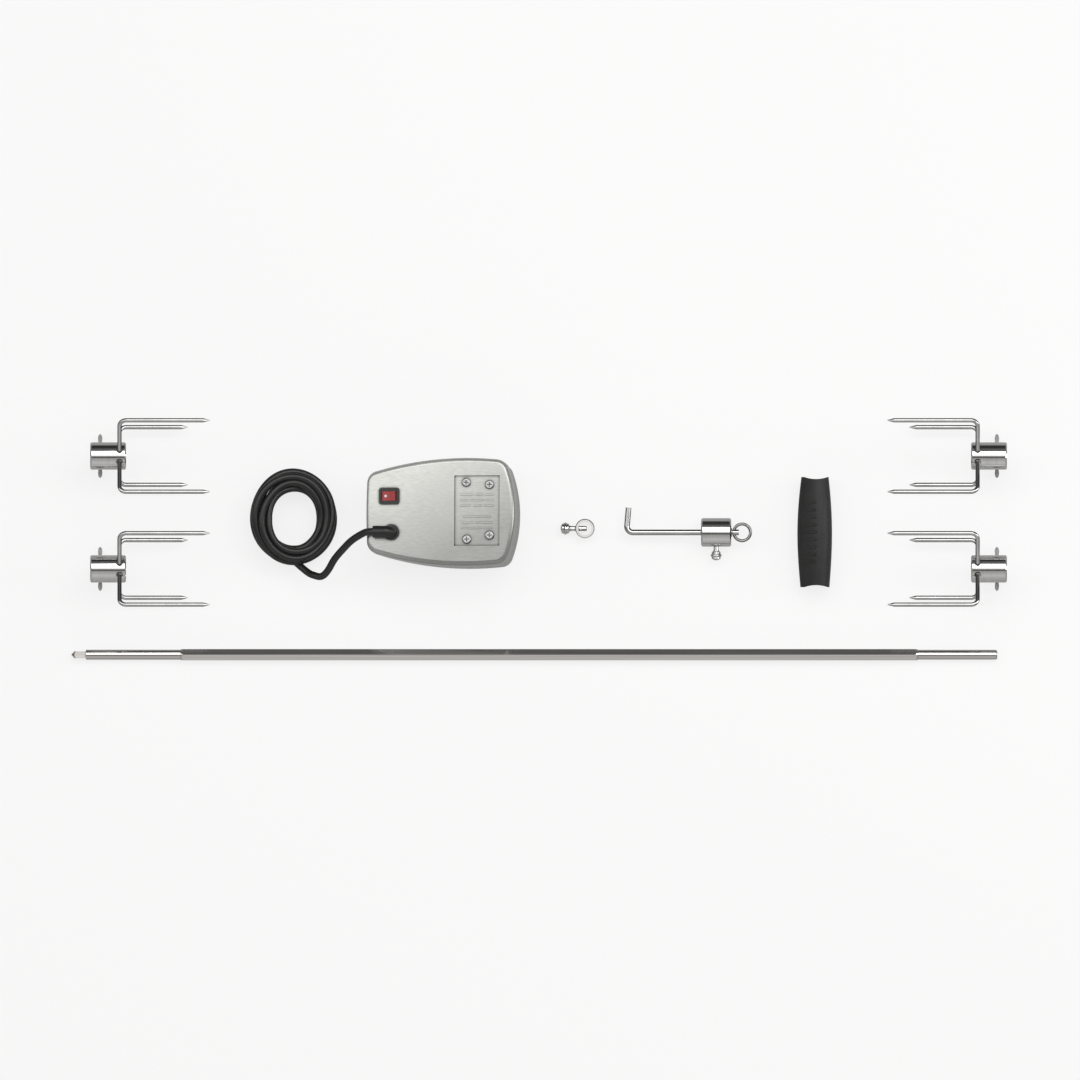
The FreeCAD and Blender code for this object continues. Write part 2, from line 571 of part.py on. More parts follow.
def build_bracket():
    """Hanging bracket screwed to the back of the motor unit, with one folded tongue."""
    screws = [(u, v, "screw_shank + 0.1") for u, v in BRACKET_SCREWS]
    low = -size("case_depth + bracket_thick")
    plate = rectangle("bracket_left", "bracket_right", "bracket_low", "bracket_top")
    bracket = padded("mounting_bracket", plate, "bracket_thick", on_motor(w=low), screws)
    sketch = new_sketch(bracket, "bracket_fold", "XY_Plane")
    fold_edge = "bracket_low + bracket_thick"
    add_outline(sketch, rectangle("bracket_left", "bracket_right", "bracket_low", fold_edge))
    fold = bracket.newObject("PartDesign::Pad", "bracket_tongue")
    fold.Profile = sketch
    fold.Reversed = True
    fold.setExpression("Length", formula("tongue_length"))


def build_gearbox():
    """Two plates on four posts, two fixed axles and the bushes of the output shaft."""
    holes = [(u, v, "screw_shank + 0.05") for u, v in COVER_SCREWS]
    front_holes = holes + [(*OUTPUT_AXIS, "bush_radius")]
    plate = rectangle("plate_left", "plate_right", "plate_low", "plate_top")
    front_w = -size("recess_depth + sheet_thick + plate_thick")
    padded("gearbox_front_plate", plate, "plate_thick", on_motor(w=front_w), front_holes)
    rear_holes = [(u, v, "long_screw + 0.1") for u, v in POSTS]
    rear_holes += [(*OUTPUT_AXIS, "bush_radius"), (*ROTOR_AXIS, "bearing_radius")]
    padded("gearbox_rear_plate", plate, "rear_plate_thick", on_motor(w=size("rear_plate")), rear_holes)
    span = front_w - size("rear_plate + rear_plate_thick")
    posts = []
    for u, v in POSTS:
        post = Part.makeCylinder(size("post_radius"), span, V(u, v, 0))
        posts.append(post.cut(Part.makeCylinder(size("long_screw + 0.05"), span, V(u, v, 0))))
    inner_w = size("rear_plate + rear_plate_thick")
    from_shape("gearbox_posts", Part.Compound(posts), on_motor(w=inner_w))
    axles = [Part.makeCylinder(size("axle_radius"), span, V(u, v, 0)) for u, v in (THIRD_AXIS, SECOND_AXIS)]
    from_shape("gear_axles", Part.Compound(axles), on_motor(w=inner_w))
    bush = [("0", "shaft_radius + running_gap"), ("0", "bush_radius"), ("bush_length", "bush_radius"),
            ("bush_length", "shaft_radius + running_gap")]
    turned("front_bushing", bush, into_motor(*OUTPUT_AXIS, front_w + size("plate_thick")))
    turned("rear_bushing", bush, into_motor(*OUTPUT_AXIS, size("rear_bush_level")))


def gear_rim(module, teeth, width, turn):
    """An involute gear blank, turned by an angle in radians."""
    drawer = FCWireBuilder()
    involute.CreateExternalGear(drawer, module, teeth, 20, True, shiftCoeff=-0.05)
    rim = Part.Face(Part.Wire([edge.toShape() for edge in drawer.wire])).extrude(V(0, 0, width))
    rim.rotate(V(0, 0, 0), Z_UP, math.degrees(turn))
    return rim


def meshed_turn(axis, teeth, turn, other_axis, other_teeth):
    """How far the other gear is turned so that its gap faces this gear's tooth."""
    way = math.atan2(other_axis[1] - axis[1], other_axis[0] - axis[0])
    phase = (way - turn) * teeth / math.tau
    return way + math.pi - math.tau / other_teeth * (0.5 - phase)


def build_gears():
    """Rotor pinion, two compound gears and the output gear on its shaft."""
    pinion = int(size("pinion_teeth"))
    wide = size("gear_width")
    first = size("first_module")
    second = size("second_module")
    third = size("third_module")
    output = gear_rim(first, int(size("output_teeth")), wide, 0)
    output = output.cut(Part.makeCylinder(size("shaft_radius"), wide))
    from_shape("output_gear", output, on_motor(*OUTPUT_AXIS, size("output_gear_level")))
    shaft_length = "shaft_end - shaft_front"
    turned("output_shaft", [("0", "0"), ("0", "shaft_radius"), (shaft_length, "shaft_radius"),
                            (shaft_length, "0")], into_motor(*OUTPUT_AXIS, -size("shaft_front")))
    half = "socket_size / 2"
    socket = turned("drive_socket", [("0", "0"), ("0", "socket_radius"), ("socket_length - 1", "socket_radius"),
                                     ("socket_length", "socket_radius - 1"), ("socket_length", "0")],
                    into_motor(*OUTPUT_AXIS, -size("shaft_end")))
    sketch = new_sketch(socket, "socket_square", "YZ_Plane", "socket_length")
    add_outline(sketch, rectangle(f"-{half}", half, f"-{half}", half))
    hole = socket.newObject("PartDesign::Pocket", "socket_hole")
    hole.Profile = sketch
    hole.setExpression("Length", formula("socket_length - socket_floor"))

    third_turn = meshed_turn(OUTPUT_AXIS, int(size("output_teeth")), 0, THIRD_AXIS, pinion)
    second_turn = meshed_turn(THIRD_AXIS, int(size("third_teeth")), 0, SECOND_AXIS, pinion)
    rotor_turn = meshed_turn(SECOND_AXIS, int(size("second_teeth")), 0, ROTOR_AXIS, pinion)
    axle_hole = Part.makeCylinder(size("axle_radius + running_gap"), size("third_gear_tall"))
    wheel = gear_rim(second, int(size("third_teeth")), size("third_wheel"), 0)
    small = gear_rim(first, pinion, size("third_gear_tall"), third_turn)
    third_place = on_motor(*THIRD_AXIS, size("third_gear_level"))
    from_shape("third_gear", wheel.fuse(small).cut(axle_hole), third_place)
    wheel = gear_rim(third, int(size("second_teeth")), size("second_wheel"), 0)
    small = gear_rim(second, pinion, size("second_gear_tall"), second_turn)
    second_place = on_motor(*SECOND_AXIS, size("second_gear_level"))
    from_shape("second_gear", wheel.fuse(small).cut(axle_hole), second_place)
    small = gear_rim(third, pinion, size("rotor_pinion_tall"), rotor_turn)
    small = small.cut(Part.makeCylinder(size("rotor_shaft"), size("rotor_pinion_tall")))
    from_shape("rotor_pinion", small, on_motor(*ROTOR_AXIS, size("rotor_pinion_level")))


def build_drive_motor():
    """Synchronous motor: can, stator coil, magnet rotor and its two bearings."""
    can_place = into_motor(*ROTOR_AXIS, size("rear_plate"))
    turned("motor_can", [
        ("0", "can_radius - 1"), ("0", "can_radius"), ("can_depth", "can_radius"), ("can_depth", "0"),
        ("can_depth - 1", "0"), ("can_depth - 1", "can_radius - 1")], can_place)
    turned("stator_coil", [
        ("coil_front", "coil_inner"), ("coil_front", "coil_outer"), ("coil_end", "coil_outer"),
        ("coil_end", "coil_inner")], can_place)
    turned("rotor", [
        ("rotor_front", "0"), ("rotor_front", "rotor_shaft"), ("magnet_front", "rotor_shaft"),
        ("magnet_front", "magnet_radius"), ("magnet_end", "magnet_radius"), ("magnet_end", "rotor_shaft"),
        ("rotor_end", "rotor_shaft"), ("rotor_end", "0")], can_place)
    rings = []
    for low, high in ((-size("rear_plate_thick"), 0.0), (size("coil_end"), size("can_depth - 1"))):
        ring = Part.makeCylinder(size("bearing_radius"), high - low, V(low, 0, 0), V(1, 0, 0))
        bore = size("rotor_shaft + running_gap")
        rings.append(ring.cut(Part.makeCylinder(bore, high - low, V(low, 0, 0), V(1, 0, 0))))
    from_shape("rotor_bearings", Part.Compound(rings), can_place)


def build_switch():
    """Rocker switch: bezel with its body, red rocker on a cross pivot, and three terminals."""
    place = on_motor(size("switch_u"), size("switch_v"))
    wide = "bezel_wide / 2"
    tall = "bezel_tall / 2"
    bezel = padded("switch_bezel", rectangle(f"-{wide}", wide, f"-{tall}", tall), "bezel_thick", place)
    sketch = new_sketch(bezel, "switch_body_outline", "XY_Plane")
    add_outline(sketch, rectangle(f"-{wide} + 1.1", f"{wide} - 1.1", f"-{tall} + 1.6", f"{tall} - 1.6"))
    block = bezel.newObject("PartDesign::Pad", "switch_body_block")
    block.Profile = sketch
    block.Reversed = True
    block.setExpression("Length", formula("switch_body"))
    open_wide = "rocker_swing_radius + rocker_gap"
    open_tall = "rocker_wide / 2 + rocker_gap"
    well = rectangle(f"-({open_wide})", open_wide, f"-({open_tall})", open_tall)
    cut_outline(bezel, well, "rocker_well", lift="bezel_thick")
    round_edges(bezel, "bezel_corners", lambda edge: edge.BoundBox.ZLength > 1 and edge.BoundBox.ZMin > -0.01
                and abs(edge.BoundBox.XMin) > size(wide) - 0.01, "bezel_round")
    reach = size("rocker_swing_radius")
    lift = math.radians(size("rocker_lift"))
    ends = [V(side * reach * math.cos(lift), 0, reach * math.sin(lift)) for side in (-1, 1)]
    middle = V(0, 0, size("rocker_middle - rocker_pivot"))
    edges = [Part.LineSegment(ends[0], middle), Part.LineSegment(middle, ends[1])]
    edges.append(Part.Arc(ends[1], V(0, 0, -reach), ends[0]))
    face = Part.Face(Part.Wire([edge.toShape() for edge in edges]))
    rocker = face.extrude(V(0, size("rocker_wide"), 0))
    tilt = FreeCAD.Placement(V(0, 0, size("rocker_pivot")),
                             FreeCAD.Rotation(V(0, 1, 0), -size("rocker_tilt")))
    from_shape("switch_rocker", rocker, place * tilt * pose(0, -size("rocker_wide / 2"), 0))
    blade = [size(text) for text in ("blade_thick", "blade_wide", "blade_length")]
    blades = [Part.makeBox(*blade, V(x - blade[0] / 2, -blade[1] / 2, 0)) for x in (-6.0, 0.0, 6.0)]
    blade_end = pose(0, 0, -size("switch_body + blade_length"))
    from_shape("switch_terminals", Part.Compound(blades), place * blade_end)


def build_cable():
    """Angled strain relief, power cable with its coil, plug, and the leads inside."""
    radius = size("relief_radius")
    rise = size("relief_rise")
    u = size("relief_u")
    v = size("relief_v")
    run = bent_path(V(u, v, -10), V(u, v, rise), V(size("relief_end"), v, rise), radius + 0.4)
    relief = swept(run, radius).fuse(Part.makeCylinder(radius + 2, 1.6, V(u, v, 0)))
    mouth = V(size("relief_end"), v, rise)
    relief = relief.cut(Part.makeCylinder(size("cable_radius + 0.05"), 9.0, mouth, V(1, 0, 0)))
    from_shape("strain_relief", relief, on_motor())
    inside = MOTOR.multVec(mouth + V(8, 0, 0))
    outside = MOTOR.multVec(mouth + V(-1.5, 0, 0))
    level = size("coil_level")
    tail = [inside, outside, V(-187, -1, 62), V(-203, -18, 45), V(-212.5, -33, 35),
            V(-218, -37, 31), V(-226, -35.6, 28), V(-242, -22.6, level)]
    cord = rounded_chain(tail, size("cable_radius"))
    bend = size("coil_wide")
    half = size("coil_tall - coil_wide")
    thick = size("band_thick")
    band = Part.makeTorus(bend, thick, V(0, half, 0), Z_UP, -180, 180, 180)
    far = Part.makeTorus(bend, thick, V(0, half, 0), Z_UP, -180, 180, 180)
    far.rotate(V(0, 0, 0), Z_UP, 180)
    band = band.fuse(far)
    for side in (-1, 1):
        band = band.fuse(Part.makeCylinder(thick, 2 * half, V(side * bend, -half, 0), V(0, 1, 0)))
    band = band.removeSplitter()
    slope = FreeCAD.Rotation(V(0, 1, 0), math.degrees(math.atan(size("coil_slope"))))
    band.Placement = FreeCAD.Placement(V(size("coil_x"), size("coil_y"), level), slope)
    from_shape("power_cable", band.fuse(cord), pose())
    body = [size(text) for text in ("plug_wide", "plug_long", "plug_high")]
    plug = Part.makeBox(*body, V(-body[0] / 2, -body[1] / 2, 0))
    plug = plug.makeFillet(size("plug_round"), plug.Edges)
    spot = pose(size("plug_x"), size("plug_y"))
    from_shape("power_plug", plug, spot)
    blade = [size(text) for text in ("plug_blade_thick", "plug_blade_length", "plug_blade_tall")]
    prongs = []
    for side in (-1, 1):
        corner = V((side * size("blade_gap") - blade[0]) / 2, body[1] / 2, (body[2] - blade[2]) / 2)
        prongs.append(Part.makeBox(*blade, corner))
    from_shape("plug_prongs", Part.Compound(prongs), spot)
    leads = []
    for start_u, bow in ((-6.0, 0.0), (6.0, 3.0)):
        start = V(size("switch_u") + start_u, size("switch_v") - 4.0, -size("switch_body") - 2.0)
        end = V(u + start_u * 0.4, v, -12.0)
        sag = (start + end) * 0.5 + V(-4 + bow, 0, -4)
        leads.append(rounded_chain([start, sag, end], size("lead_radius")))
    from_shape("lead_wires", Part.Compound(leads), on_motor())


def check_and_write():
    doc.recompute()
    bad = [item.Label for item in doc.Objects if "Invalid" in item.State or "Error" in item.State]
    for item in parts:
        if item.Shape.isNull() or not item.Shape.isValid() or not item.Shape.Solids:
            bad.append(item.Label)
    if bad:
        raise RuntimeError("these objects failed: " + ", ".join(bad))
    os.makedirs("parts", exist_ok=True)
    for item in parts:
        item.Shape.exportStep(os.path.join("parts", item.Label + ".step"))


build_case()
build_fasteners()
build_bracket()
build_gearbox()
build_gears()
build_drive_motor()
build_switch()
build_cable()
build_fork(1, size("fork_left"), size("fork_top_lane"), False)
build_fork(2, size("fork_left"), size("fork_low_lane"), False)
build_fork(3, size("fork_right"), size("fork_top_lane"), True)
build_fork(4, size("fork_right"), size("fork_low_lane"), True)
build_stop_collar()
build_counterbalance()
build_grip()
build_spit_rod()
check_and_write()
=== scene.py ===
import json
import math

import bmesh
import bpy
from mathutils import Matrix, Vector


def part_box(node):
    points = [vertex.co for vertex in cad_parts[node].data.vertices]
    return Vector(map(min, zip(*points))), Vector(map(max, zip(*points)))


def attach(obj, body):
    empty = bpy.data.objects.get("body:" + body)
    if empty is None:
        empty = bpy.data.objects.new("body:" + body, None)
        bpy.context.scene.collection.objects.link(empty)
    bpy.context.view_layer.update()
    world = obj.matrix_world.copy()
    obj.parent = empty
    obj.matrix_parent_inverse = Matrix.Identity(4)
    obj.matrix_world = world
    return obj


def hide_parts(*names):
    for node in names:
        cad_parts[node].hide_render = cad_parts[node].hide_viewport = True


# A rotisserie kit laid out on a white table, seen from straight above. Metres, in the CAD frame.

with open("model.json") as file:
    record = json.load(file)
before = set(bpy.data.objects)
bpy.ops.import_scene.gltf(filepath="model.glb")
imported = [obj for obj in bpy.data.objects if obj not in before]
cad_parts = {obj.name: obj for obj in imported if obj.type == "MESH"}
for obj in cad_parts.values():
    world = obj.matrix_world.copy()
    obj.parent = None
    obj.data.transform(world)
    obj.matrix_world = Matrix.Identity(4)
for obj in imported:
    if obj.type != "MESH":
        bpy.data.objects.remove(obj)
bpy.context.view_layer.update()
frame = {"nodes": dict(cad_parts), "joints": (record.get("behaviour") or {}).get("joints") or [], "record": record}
MM = 0.001

# ---------------------------------------------------------------- driving values

# Places on the motor unit's face are (u, v, out of the face), from the face's middle.
OUTPUT_ON_FACE = Vector((37, 0, -12)) * MM
# Middle of the painted shade across the motor face.
PAINTED_SHADE_MIDDLE = Vector((-10, 0, 0)) * MM
CORD_MOUTH = (Vector((-63.5, -20.4, 8.0)) * MM, Vector((-71.0, -20.4, 8.0)) * MM)

# The cord's coil: an oval loop of strands. In LAYS turns a strand rolls ROLLS times round the bundle.
CORD_RADIUS = 3.6 * MM
CORD_SIDES = 20
CORD_STEPS = 3
# From the lowest corner of the cable's box to the coil's middle.
COIL_FROM_CORNER = Vector((41.66, 62.48, 15.85)) * MM
COIL_WIDE = 32.4 * MM
COIL_TALL = 37.6 * MM
BUNDLE_WIDE = 7.9 * MM
BUNDLE_DEEP = 9.8 * MM
COIL_TURNS = 6
COIL_STEPS = 30
LAYS = 7
ROLLS = 2
COIL_SLOPE = 0.177
SQUEEZE_FRONT = 0.14
SQUEEZE_RIGHT = 0.12
SWELL_LEFT = 0.1
WANDER = 0.7 * MM
WANDER_DRIFT = 5.3
WANDER_LOBES = 3
# Where the cord passes on its way down to the coil, in mm from the coil's middle.
CORD_DESCENT = ((68.9, -15.8, 50.1), (57.9, -22.6, 43.1), (49.9, -30.4, 35.1), (40.4, -41.4, 26.1),
                (33.4, -53.3, 18.1), (27.1, -59.0, 12.6), (19.5, -57.8, 8.1), (11.9, -53.8, 2.1))

# Raised bars: dashes on the sunk panel, the rocker's mark, and the hand grip's bars.
BAR_END_STEPS = 6
BAR_EDGE_LEVEL = 0.6
BAR_TOP_SHRINK = 0.82
DASH_WIDTH = 1.5 * MM
DASH_HEIGHT = 0.45 * MM
# In mm on the motor unit's face: the panel's middle and floor, the gap between dashes, and each row's
# place with the lengths of its dashes.
PANEL_MIDDLE = 36.8
PANEL_FLOOR = -2.0
DASH_GAP = 2.2
DASH_ROWS = ((17, (13, 7, 9)), (11.5, (8, 14, 8)), (6, (11, 9, 10)), (-5, (28,)), (-11, (12, 17)),
             (-16.5, (20, 9)))
ROCKER_END = 7.2 * MM
ROCKER_END_ANGLE = math.radians(25)
ROCKER_MIDDLE_RISE = 1.9 * MM
MARK_PLACE = 3.3 * MM
MARK_WIDTH = 2.6 * MM
MARK_LENGTH = 2.61 * MM
MARK_HEIGHT = 0.12 * MM
GRIP_BARS_EACH_WAY = 4
GRIP_BAR_PITCH = 7.4 * MM
GRIP_BAR_LENGTH = 12 * MM
GRIP_BAR_TAPER = 0.5 * MM
GRIP_BAR_WIDTH = 2.4 * MM
GRIP_BAR_HEIGHT = 0.8 * MM
GRIP_BAR_SIDE = 3.5 * MM

# Weld beads between a fork's collar and its prongs.
BEAD_FROM_COLLAR_END = 29.3 * MM
BEAD_ACROSS = 5.6 * MM
BEAD_UP = 12.6 * MM
BEAD_RADIUS = 3.1 * MM
BEAD_FLATNESS = 0.62
BEAD_LUMPS = 0.10
BEAD_WAVES = (2400, 2100)

# Materials.
GRAIN_DEPTH = 0.2 * MM
NOISE_SPAN = (0.3, 0.7)
GRAIN_DETAIL = 4.0
CLOUD_DETAIL = 3.0
PIT_DETAIL = 2.0
METAL_CLOUDS = 35.0
PLASTIC_CLOUDS = 60.0
# Painted shade in creases: ambient occlusion darkens the colour down to CREASE_DARKEST.
CREASE_SAMPLES = 8
CREASE_SPAN = (0.35, 0.95)
CREASE_DARKEST = 0.04
# Painted shade on round wire: over this span of facing, the colour darkens toward the edges that turn away.
EDGE_SPAN = (0.22, 0.55)
# Painted shade across the motor face: its change of brightness per metre along X and Y, its least and its most.
FACE_PAINTED_SHADE = ((-2.4, 4.8), 0.55, 1.05)

# Stage, light and camera.
FRAME_WIDTH = 1.08
CAMERA_PLACE = (0.75 * MM, -0.77 * MM, 1.6)
FLOOR_REACH = 6.0
FLOOR_DROP = 0.5 * MM
FLOOR_GLOW = 0.99
FLOOR_GLOW_SHARE = 0.8
BACKDROP = 0.94
STRIP_LIGHT = 1.2
STRIP_WARMTH = 0.012
SIDE_SPAN = (0.5, 0.85)
SIDE_SHADE = 0.7
# Degrees from straight up toward +Y, and how bright the surroundings are there.
STRIPS = ((-180, 0.36), (-120, 0.30), (-80, 0.40), (-60, 0.50), (-30, 0.36), (-19, 0.30), (-13, 0.06),
          (-6, 0.06), (-2, 0.75), (7, 0.95), (11, 1.9), (27, 1.9), (36, 0.11), (60, 0.11), (72, 0.03),
          (98, 0.03), (108, 0.30), (180, 0.36))
# Each lamp's place, width and height in metres, and its power in watts.
LAMPS = {"soft box": ((0.3, 0.9, 1.4), (1.6, 0.5), 6.0),
         "side box": ((1.6, 0.1, 0.5), (0.4, 1.2), 5.0)}


# ---------------------------------------------------------------- motor unit's own axes

def find_joint(name):
    return next(joint for joint in frame["joints"] if joint["name"] == name)


def motor_axes():
    spin = find_joint("output_spin")
    turn = Vector((0, 0, 1)).rotation_difference(Vector(spin["axis"])).to_matrix()
    origin = Vector(spin["pos_m"]) - turn @ OUTPUT_ON_FACE
    return Matrix.Translation(origin) @ turn.to_4x4()


MOTOR = motor_axes()


# ---------------------------------------------------------------- shader nodes

def new_material(name, color, metallic, roughness):
    material = bpy.data.materials.new(name)
    material.use_nodes = True
    shader = material.node_tree.nodes["Principled BSDF"]
    shader.inputs["Base Color"].default_value = (*color, 1)
    shader.inputs["Metallic"].default_value = metallic
    shader.inputs["Roughness"].default_value = roughness
    return material, material.node_tree, shader


def add_node(tree, kind, **values):
    node = tree.nodes.new(kind)
    for key, value in values.items():
        if key in node.inputs:
            node.inputs[key].default_value = value
        else:
            setattr(node, key, value)
    return node


def noise(tree, stretch, scale, detail):
    """Noise in object space, stretched along an axis by small scale values."""
    place = add_node(tree, "ShaderNodeTexCoord")
    mapping = add_node(tree, "ShaderNodeMapping")
    mapping.inputs["Scale"].default_value = stretch
    pattern = add_node(tree, "ShaderNodeTexNoise", Scale=scale, Detail=detail)
    tree.links.new(place.outputs["Object"], mapping.inputs["Vector"])
    tree.links.new(mapping.outputs["Vector"], pattern.inputs["Vector"])
    return pattern.outputs["Fac"]


def remap(tree, source, span, low, high):
    """A value that goes from low to high while the source crosses the span, and stays there beyond it."""
    node = add_node(tree, "ShaderNodeMapRange")
    for name, value in zip(("From Min", "From Max", "To Min", "To Max"), (*span, low, high)):
        node.inputs[name].default_value = value
    tree.links.new(source, node.inputs["Value"])
    return node.outputs["Result"]


def tint(tree, source, dark, light):
    """A colour that goes from dark to light as the noise rises."""
    ramp = add_node(tree, "ShaderNodeValToRGB")
    for element, position, color in zip(ramp.color_ramp.elements, NOISE_SPAN, (dark, light)):
        element.position = position
        element.color = (*color, 1)
    tree.links.new(source, ramp.inputs["Fac"])
    return ramp.outputs["Color"]


def add_bump(tree, shader, source, strength):
    bump = add_node(tree, "ShaderNodeBump", Strength=strength, Distance=GRAIN_DEPTH)
    tree.links.new(source, bump.inputs["Height"])
    tree.links.new(bump.outputs["Normal"], shader.inputs["Normal"])


def multiplied(tree, color, factor):
    """Two colours multiplied, through the mix node's own colour sockets."""
    mix = add_node(tree, "ShaderNodeMix", data_type="RGBA", blend_type="MULTIPLY")
    first, second = mix.inputs[6], mix.inputs[7]
    mix.inputs["Factor"].default_value = 1.0
    tree.links.new(color, first)
    tree.links.new(factor, second)
    return mix.outputs[2]


def painted_shade_across(tree, color, middle, slopes, low, high):
    """Painted light and shade: a slow change of brightness painted across a face, in shares per metre along X and
    Y.
    """
    place = add_node(tree, "ShaderNodeTexCoord")
    along = add_node(tree, "ShaderNodeVectorMath", operation="DOT_PRODUCT")
    along.inputs[1].default_value = (*slopes, 0)
    tree.links.new(place.outputs["Object"], along.inputs[0])
    start = middle[0] * slopes[0] + middle[1] * slopes[1] - (low + high) / 2
    shade = remap(tree, along.outputs["Value"], (start + low, start + high), low, high)
    return multiplied(tree, color, shade)


def painted_edge_shade(tree, color, darkest):
    """Painted shade where the surface turns away from the eye, standing in for the dark side of the room that
    polished round wire mirrors.
    """
    facing = add_node(tree, "ShaderNodeLayerWeight", Blend=0.5)
    shade = remap(tree, facing.outputs["Facing"], EDGE_SPAN, 1.0, darkest)
    return multiplied(tree, color, shade)


def painted_crease_shade(tree, color, reach):
    """A colour with painted shade in creases: darker where ambient occlusion finds nearby surfaces."""
    crease = add_node(tree, "ShaderNodeAmbientOcclusion", Distance=reach)
    crease.samples = CREASE_SAMPLES
    shade = remap(tree, crease.outputs["AO"], CREASE_SPAN, CREASE_DARKEST, 1.0)
    return multiplied(tree, color, shade)


# ---------------------------------------------------------------- materials

def metal(name, dark, light, rough, stretch, scale=2.0, bump=0.05, crease=1.5, metallic=1.0, shade=None,
          edge=None):
    """Bare metal with a directional finish, cloudy roughness, fine grain, and painted shade in creases reaching
    some mm; where asked, also painted shade across a face and on edges that turn away from the eye.
    """
    material, tree, shader = new_material(name, light, metallic, rough[0])
    grain = noise(tree, stretch, scale, GRAIN_DETAIL)
    clouds = noise(tree, even(1), METAL_CLOUDS, CLOUD_DETAIL)
    color = tint(tree, grain, dark, light)
    if shade:
        color = painted_shade_across(tree, color, *shade)
    if edge:
        color = painted_edge_shade(tree, color, edge)
    tree.links.new(painted_crease_shade(tree, color, crease * MM), shader.inputs["Base Color"])
    tree.links.new(remap(tree, clouds, NOISE_SPAN, *rough), shader.inputs["Roughness"])
    add_bump(tree, shader, grain, bump)
    return material


def moulded(name, dark, light, rough, scale, bump):
    """Plastic or rubber with a fine pitted grain and slow variation of colour."""
    material, tree, shader = new_material(name, light, 0.0, rough[0])
    clouds = noise(tree, even(1), PLASTIC_CLOUDS, CLOUD_DETAIL)
    grain = noise(tree, even(1), scale, PIT_DETAIL)
    tree.links.new(tint(tree, clouds, dark, light), shader.inputs["Base Color"])
    tree.links.new(remap(tree, grain, NOISE_SPAN, *rough), shader.inputs["Roughness"])
    add_bump(tree, shader, grain, bump)
    return material


def gray(value, warm=0.0):
    return (value * (1 + warm), value, value * (1 - warm))


def even(value):
    return (value, value, value)


def motor_materials():
    face_middle = (MOTOR @ PAINTED_SHADE_MIDDLE)[:2]
    return {
        # The cover steel carries painted shade across its face and painted shade in creases reaching 3.2 mm.
        "cover_steel": metal("cover steel", (0.49, 0.50, 0.475), (0.60, 0.61, 0.585), rough=(0.20, 0.27),
                             stretch=(5, 700, 700), crease=3.2, metallic=0.5,
                             shade=(face_middle, *FACE_PAINTED_SHADE)),
        # The housing's steel is painted darker than the cover's: painted shade on the housing's sides.
        "housing_steel": metal("housing steel with painted shade", gray(0.27, 0.01), gray(0.33, 0.01), rough=(0.22, 0.32),
                               stretch=(5, 300, 300), bump=0.01, metallic=0.5),
        "screw_steel": metal("screw steel", gray(0.28), gray(0.40), rough=(0.16, 0.26), stretch=even(300),
                             crease=2.6),
        "gearbox_steel": metal("gearbox steel", gray(0.42), gray(0.58), rough=(0.3, 0.45),
                               stretch=even(200)),
        "brass": metal("brass", (0.55, 0.38, 0.13), (0.75, 0.56, 0.24), rough=(0.25, 0.4),
                       stretch=even(200)),
        "copper_coil": metal("copper winding", (0.42, 0.16, 0.06), (0.70, 0.30, 0.13), rough=(0.3, 0.45),
                             stretch=(60, 60, 1200), scale=1.5, bump=0.5),
        "gear_plastic": moulded("gear plastic", (0.72, 0.70, 0.62), (0.84, 0.82, 0.75), rough=(0.4, 0.5),
                                scale=900, bump=0.1),
        "magnet": moulded("ferrite", gray(0.035), gray(0.06), rough=(0.5, 0.7), scale=1500, bump=0.3),
        "black_plastic": moulded("black plastic", gray(0.009), gray(0.016), rough=(0.32, 0.45),
                                 scale=2500, bump=0.15),
        "red_plastic": moulded("red plastic", (0.32, 0.012, 0.016), (0.40, 0.018, 0.022),
                               rough=(0.18, 0.28), scale=400, bump=0.03),
        "cable_black": moulded("cable jacket", gray(0.010), gray(0.019), rough=(0.30, 0.42), scale=1800,
                               bump=0.12),
        "lead_insulation": moulded("lead insulation", gray(0.4), gray(0.5), rough=(0.4, 0.5), scale=900,
                                   bump=0.1),
    }


def spit_materials():
    return {
        "rod_chrome": metal("drawn rod", (0.60, 0.58, 0.56), (0.74, 0.725, 0.71), rough=(0.09, 0.15),
                            stretch=(6, 900, 900), scale=1.2, bump=0.006),
        "collar_chrome": metal("turned collar", gray(0.70, 0.01), gray(0.80), rough=(0.07, 0.12),
                               stretch=(500, 30, 30), scale=1.5, bump=0.006),
        "dull_steel": metal("dull steel", gray(0.26), gray(0.36), rough=(0.22, 0.32), stretch=even(150),
                            bump=0.02),
        # The plated wire's edge value paints shade where the wire turns away from the eye.
        "wire_chrome": metal("plated wire", gray(0.54), gray(0.66), rough=(0.07, 0.13), stretch=even(40),
                             bump=0.004, edge=0.25),
        "screw_chrome": metal("plated screw", gray(0.66), gray(0.78), rough=(0.08, 0.15),
                              stretch=even(150), bump=0.006),
        "weld": metal("weld bead", gray(0.06), gray(0.18), rough=(0.25, 0.45), stretch=even(500),
                      bump=0.4),
        "grip_black": moulded("grip phenolic", gray(0.010), gray(0.016), rough=(0.48, 0.60), scale=2200,
                              bump=0.25),
    }


MATERIALS = {**motor_materials(), **spit_materials()}


def finish_nodes():
    """Every CAD node takes the material of its slot; the wings and the pull ring take a duller one."""
    slot_of = {item["node"]: item["material_slot"] for item in frame["record"]["subparts"]}
    for name, obj in frame["nodes"].items():
        dull = name.endswith("_wing") or name == "pull_ring"
        material = MATERIALS["dull_steel" if dull else slot_of[name]]
        if not obj.material_slots:
            obj.data.materials.append(material)
        for slot in obj.material_slots:
            slot.material = material


# ---------------------------------------------------------------- added pieces

def new_mesh(name, mesh):
    """Turns a bmesh into a mesh of the given name, and frees the bmesh."""
    data = bpy.data.meshes.new(name)
    mesh.to_mesh(data)
    mesh.free()
    return data


